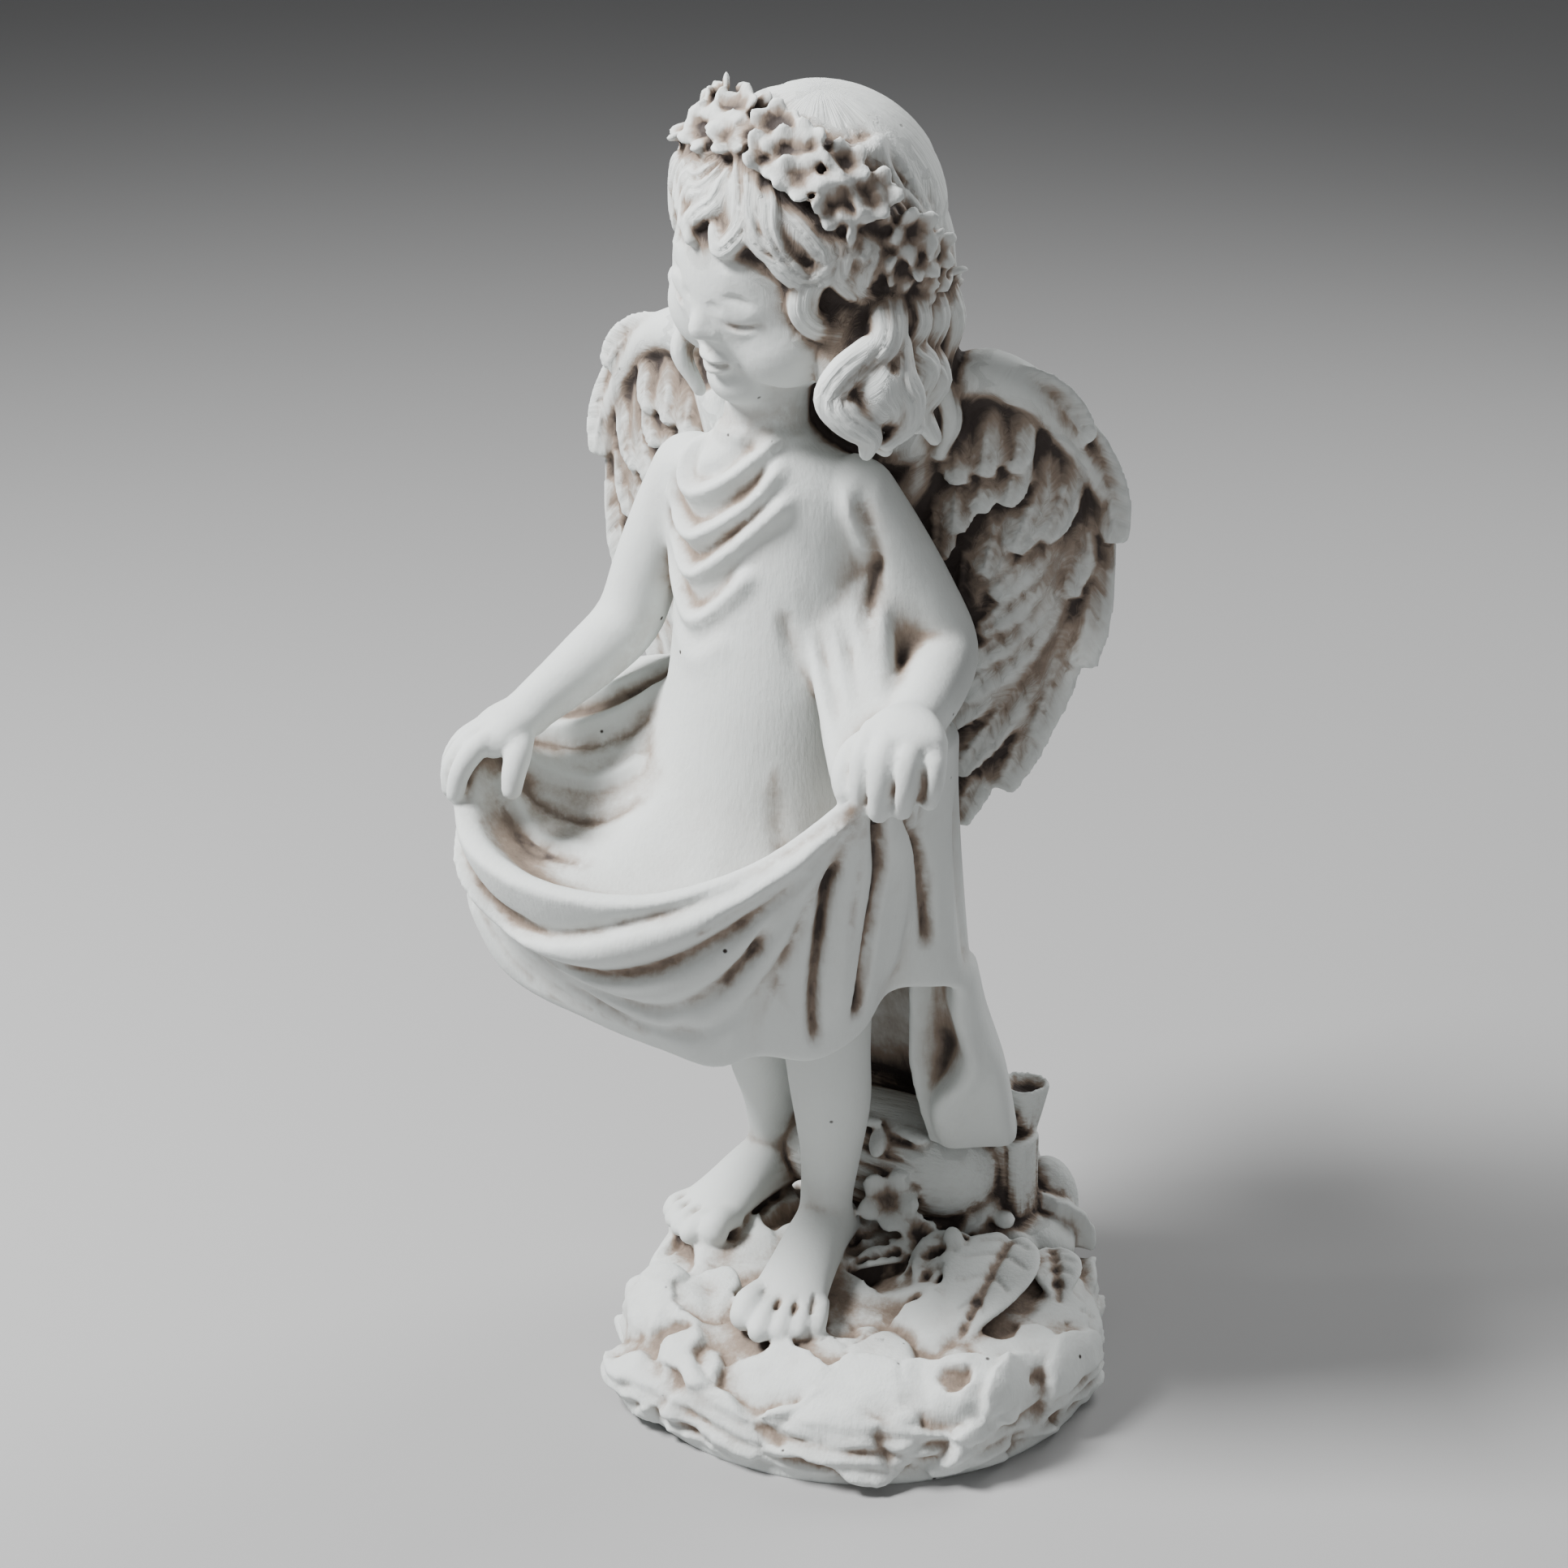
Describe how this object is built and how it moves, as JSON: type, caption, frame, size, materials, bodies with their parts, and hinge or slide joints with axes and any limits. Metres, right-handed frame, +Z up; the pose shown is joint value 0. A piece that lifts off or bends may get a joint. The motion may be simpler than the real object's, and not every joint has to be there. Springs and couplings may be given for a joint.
{
  "type": "cherub garden statue",
  "caption": "Cast-stone winged cherub girl in a flower wreath who lifts her dress as a shallow bowl, standing by a broken log on a round rocky base.",
  "frame": {"origin": "middle of the flat underside of the rocky base", "axes": "+Z up, the figure faces -Y and its left hand is towards +X"},
  "size_m": [0.2902, 0.2332, 0.5923],
  "materials": {
    "cast_stone": "matt off-white cast stone with a brown antique wash in the hollows"
  },
  "bodies": {
    "root": {"cherub_statue": "cast_stone"}
  },
  "joints": []
}
